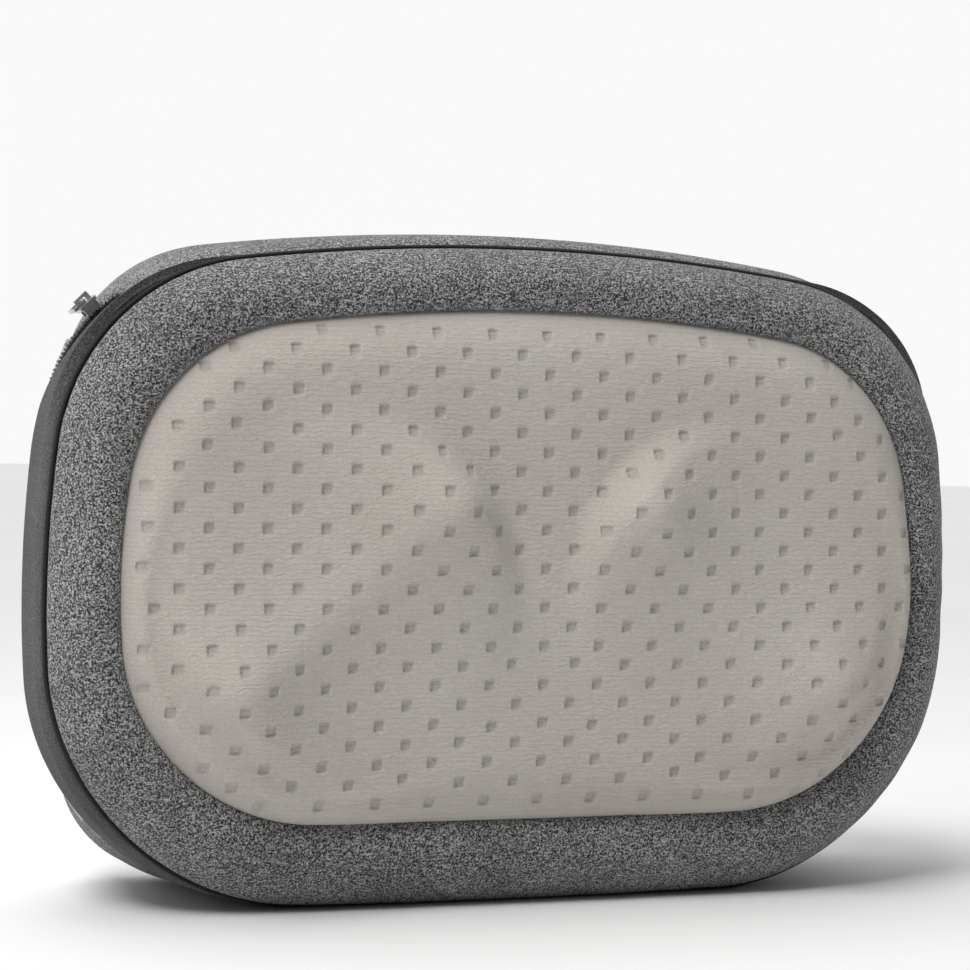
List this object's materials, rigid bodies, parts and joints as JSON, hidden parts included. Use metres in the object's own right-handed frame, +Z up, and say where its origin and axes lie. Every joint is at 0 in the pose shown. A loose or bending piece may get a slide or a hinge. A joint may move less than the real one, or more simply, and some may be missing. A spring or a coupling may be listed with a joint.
{
  "type": "shiatsu neck massager",
  "caption": "Cushion-shaped shiatsu neck massager with a dotted mesh face, a heather grey zip cover, and two contra-rotating arms of free-spinning heated nodes.",
  "frame": {"origin": "middle of the bottom edge that the pillow stands on, half way through its depth", "axes": "+X along the width, -Y out of the massaging face, +Z up"},
  "size_m": [0.332, 0.12, 0.224],
  "materials": {
    "mesh_beige": "ribbed knit with embossed dots",
    "lining_nylon": "smooth woven lining",
    "melange_cover": "heather grey melange weave",
    "band_fabric": "fine dark grey zip tape",
    "zip_plastic": "nylon coil",
    "zip_metal": "satin nickel plate",
    "foam": "soft foam",
    "housing_plastic": "moulded black ABS",
    "screw_steel": "zinc plated",
    "mount_rubber": "soft rubber",
    "bush_brass": "sintered bronze",
    "motor_steel": "pressed steel",
    "motor_cap_plastic": "moulded",
    "magnet": "ferrite",
    "rotor_iron": "laminated core, varnished windings",
    "copper": "copper bars",
    "shaft_steel": "ground steel",
    "gear_nylon": "natural nylon",
    "worm_steel": "rolled steel",
    "arm_plastic": "glass filled nylon",
    "node_plastic": "polished ABS",
    "cap_plastic": "red ABS",
    "lamp_glass": "red heat lamp",
    "board_green": "green circuit board",
    "bezel_plastic": "fine grain ABS",
    "button_plastic": "silver grey ABS",
    "jack_metal": "nickel plated",
    "lead_insulation": "red insulated leads"
  },
  "bodies": {
    "root": {"board_screws": "screw_steel", "clamp_screws": "screw_steel", "control_bezel": "bezel_plastic", "control_board": "board_green", "dc_jack": "bezel_plastic", "front_border_fabric": "melange_cover", "front_foam_ring": "foam", "front_housing": "housing_plastic", "front_mesh_panel": "mesh_beige", "gearbox_base": "housing_plastic", "gearbox_cover": "housing_plastic", "gearbox_screws": "screw_steel", "heat_lamps": "lamp_glass", "housing_screws": "screw_steel", "inner_liner": "lining_nylon", "jack_nut": "jack_metal", "lamp_posts": "shaft_steel", "motor_brushes": "motor_cap_plastic", "motor_can": "motor_steel", "motor_clamp": "motor_steel", "motor_end_caps": "motor_cap_plastic", "motor_leads": "lead_insulation", "motor_magnets": "magnet", "mount_screws": "screw_steel", "output_bushes": "bush_brass", "rear_cover_fabric": "melange_cover", "rear_foam_pad": "foam", "rear_housing": "housing_plastic", "rubber_mounts": "mount_rubber", "shaft_bushes": "bush_brass", "zipper_coil": "zip_plastic", "zipper_tapes": "band_fabric"},
    "rotor": {"motor_rotor": "rotor_iron", "commutator": "copper", "motor_shaft": "shaft_steel", "worm_left": "worm_steel", "worm_right": "worm_steel"},
    "left_arm": {"worm_wheel_left": "gear_nylon", "output_shaft_left": "shaft_steel", "arm_left": "arm_plastic", "arm_clip_left": "shaft_steel", "node_pins_left": "shaft_steel", "node_screws_left": "screw_steel"},
    "right_arm": {"worm_wheel_right": "gear_nylon", "output_shaft_right": "shaft_steel", "arm_right": "arm_plastic", "arm_clip_right": "shaft_steel", "node_pins_right": "shaft_steel", "node_screws_right": "screw_steel"},
    "button": {"power_button": "button_plastic"},
    "zip_slider_body": {"zipper_slider": "zip_metal"},
    "zip_pull_body": {"zipper_pull_ring": "zip_metal"},
    "node_left_outer": {"massage_node_left_outer": "node_plastic", "node_cap_left_outer": "cap_plastic"},
    "node_left_inner": {"massage_node_left_inner": "node_plastic", "node_cap_left_inner": "cap_plastic"},
    "node_right_inner": {"massage_node_right_inner": "node_plastic", "node_cap_right_inner": "cap_plastic"},
    "node_right_outer": {"massage_node_right_outer": "node_plastic", "node_cap_right_outer": "cap_plastic"}
  },
  "joints": [
    {"name": "left_arm_spin", "type": "hinge", "parent": "root", "child": "left_arm", "pos_m": [-0.07135, 0, 0.106], "axis": [0, 1, 0], "continuous": true},
    {"name": "right_arm_spin", "type": "hinge", "parent": "root", "child": "right_arm", "pos_m": [0.07135, 0, 0.106], "axis": [0, 1, 0], "continuous": true},
    {"name": "motor_spin", "type": "hinge", "parent": "root", "child": "rotor", "pos_m": [0, 0.02, 0.1425], "axis": [1, 0, 0], "continuous": true},
    {"name": "node_left_outer_spin", "type": "hinge", "parent": "left_arm", "child": "node_left_outer", "pos_m": [-0.10686, 0, 0.07621], "axis": [0, 1, 0], "continuous": true},
    {"name": "node_left_inner_spin", "type": "hinge", "parent": "left_arm", "child": "node_left_inner", "pos_m": [-0.03584, 0, 0.13579], "axis": [0, 1, 0], "continuous": true},
    {"name": "node_right_inner_spin", "type": "hinge", "parent": "right_arm", "child": "node_right_inner", "pos_m": [0.03584, 0, 0.13579], "axis": [0, 1, 0], "continuous": true},
    {"name": "node_right_outer_spin", "type": "hinge", "parent": "right_arm", "child": "node_right_outer", "pos_m": [0.10686, 0, 0.07621], "axis": [0, 1, 0], "continuous": true},
    {"name": "button_press", "type": "slide", "parent": "root", "child": "button", "axis": [-1, 0, 0], "range_m": [0, 0.0012], "stiffness_N_per_m": 500},
    {"name": "zip_slide", "type": "hinge", "parent": "root", "child": "zip_slider_body", "pos_m": [-0.10439, 0.008, 0.15913], "axis": [0, -1, 0], "range_deg": [0, 40]},
    {"name": "pull_swing", "type": "hinge", "parent": "zip_slider_body", "child": "zip_pull_body", "pos_m": [-0.1472, 0.008, 0.20194], "axis": [0, 1, 0], "range_deg": [0, 150]}
  ],
  "couplings": [
    {"joint": "right_arm_spin", "follows": "left_arm_spin", "ratio": -1},
    {"joint": "motor_spin", "follows": "left_arm_spin", "ratio": 40}
  ]
}
